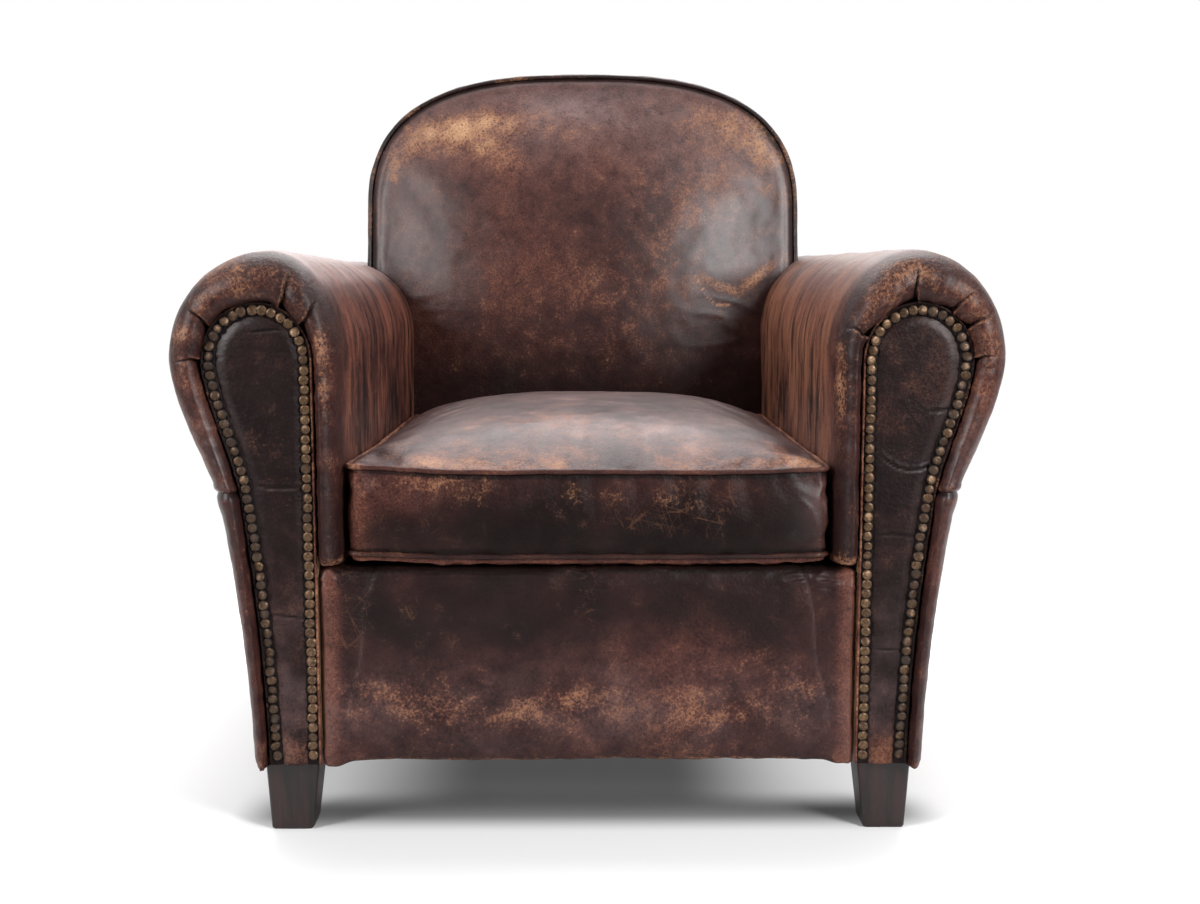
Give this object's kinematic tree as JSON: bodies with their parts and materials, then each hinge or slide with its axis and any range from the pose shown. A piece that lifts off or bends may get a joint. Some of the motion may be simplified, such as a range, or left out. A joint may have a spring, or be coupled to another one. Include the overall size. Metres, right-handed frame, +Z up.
{
  "type": "leather club armchair",
  "caption": "Worn brown leather club chair with scroll arms, nail-head trim, a loose box cushion, an arched back and short square tapered legs.",
  "frame": {"origin": "on the floor under the middle of the chair's bounding box", "axes": "+Z up, the front of the chair faces -Y, +X to the right of a person who stands in front and looks at it"},
  "size_m": [0.8348, 0.7969, 0.8435],
  "materials": {
    "brown_leather": "worn satin leather, rubbed to tan on the edges",
    "dark_leather": "dark scratched leather",
    "aged_brass": "antique brass nail heads",
    "stained_wood": "dark mahogany stain",
    "frame_wood": "raw beech",
    "spring_steel": "dull spring steel",
    "jute": "woven jute",
    "stuffing": "horsehair and cotton felt",
    "foam": "foam in a cotton cover",
    "dust_cloth": "black cambric"
  },
  "bodies": {
    "root": {"apron_cover": "brown_leather", "apron_pad": "stuffing", "back_border": "brown_leather", "back_pad": "stuffing", "back_webbing": "jute", "back_welt": "brown_leather", "crest_rail": "frame_wood", "cushion_bottom_panel": "brown_leather", "cushion_bottom_welt": "brown_leather", "cushion_boxing": "brown_leather", "cushion_core": "foam", "cushion_top_panel": "brown_leather", "cushion_top_welt": "brown_leather", "dust_cover": "dust_cloth", "front_left_corner_block": "frame_wood", "front_left_leg": "stained_wood", "front_right_corner_block": "frame_wood", "front_right_leg": "stained_wood", "front_seat_rail": "frame_wood", "inside_back_cover": "brown_leather", "left_arm_cover": "brown_leather", "left_arm_pad": "stuffing", "left_arm_top_rail": "frame_wood", "left_back_post": "frame_wood", "left_facing_panel": "dark_leather", "left_front_stump": "frame_wood", "left_nail_trim": "aged_brass", "left_outside_arm_panel": "brown_leather", "left_rear_arm_board": "frame_wood", "left_seat_rail": "frame_wood", "lower_back_rail": "frame_wood", "outside_back_cover": "brown_leather", "rear_left_corner_block": "frame_wood", "rear_left_leg": "stained_wood", "rear_right_corner_block": "frame_wood", "rear_right_leg": "stained_wood", "rear_seat_rail": "frame_wood", "right_arm_cover": "brown_leather", "right_arm_pad": "stuffing", "right_arm_top_rail": "frame_wood", "right_back_post": "frame_wood", "right_facing_panel": "dark_leather", "right_front_stump": "frame_wood", "right_nail_trim": "aged_brass", "right_outside_arm_panel": "brown_leather", "right_rear_arm_board": "frame_wood", "right_seat_rail": "frame_wood", "seat_deck_pad": "stuffing", "seat_hessian": "jute", "seat_spring_1": "spring_steel", "seat_spring_2": "spring_steel", "seat_spring_3": "spring_steel", "seat_spring_4": "spring_steel", "seat_spring_5": "spring_steel", "seat_spring_6": "spring_steel", "seat_spring_7": "spring_steel", "seat_spring_8": "spring_steel", "seat_spring_9": "spring_steel", "seat_webbing": "jute"}
  },
  "joints": []
}
